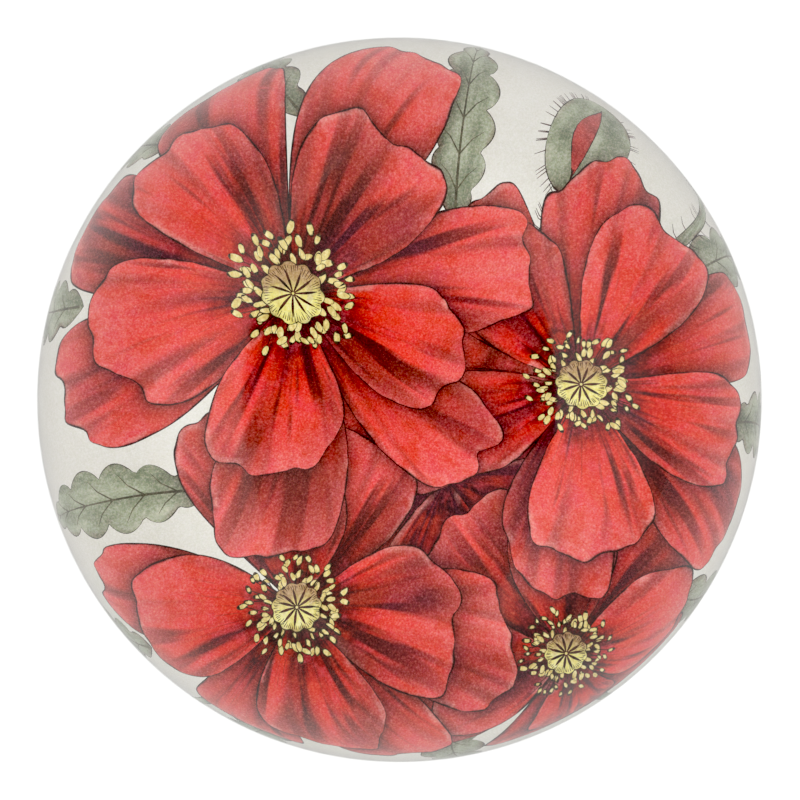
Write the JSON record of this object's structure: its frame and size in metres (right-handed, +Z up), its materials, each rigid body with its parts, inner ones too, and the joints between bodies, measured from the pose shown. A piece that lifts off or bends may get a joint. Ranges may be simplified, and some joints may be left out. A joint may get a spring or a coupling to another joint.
{
  "type": "domed glass paperweight",
  "caption": "Round paperweight: a solid clear glass dome that magnifies a printed flower picture glued under it, on a felt pad.",
  "frame": {"origin": "middle of the felt pad's underside, where the paperweight stands", "axes": "+Z up along the dome's axis, which is also the shortest extent; +Y is the top of the printed picture"},
  "size_m": [0.089, 0.089, 0.0465],
  "materials": {
    "clear_glass": "polished, solid, colourless",
    "printed_paper": "matt print, mostly red petals on off-white paper, glued to the glass",
    "felt": "pressed wool felt"
  },
  "bodies": {
    "root": {"glass_dome": "clear_glass", "print_sheet": "printed_paper", "felt_pad": "felt"}
  },
  "joints": []
}
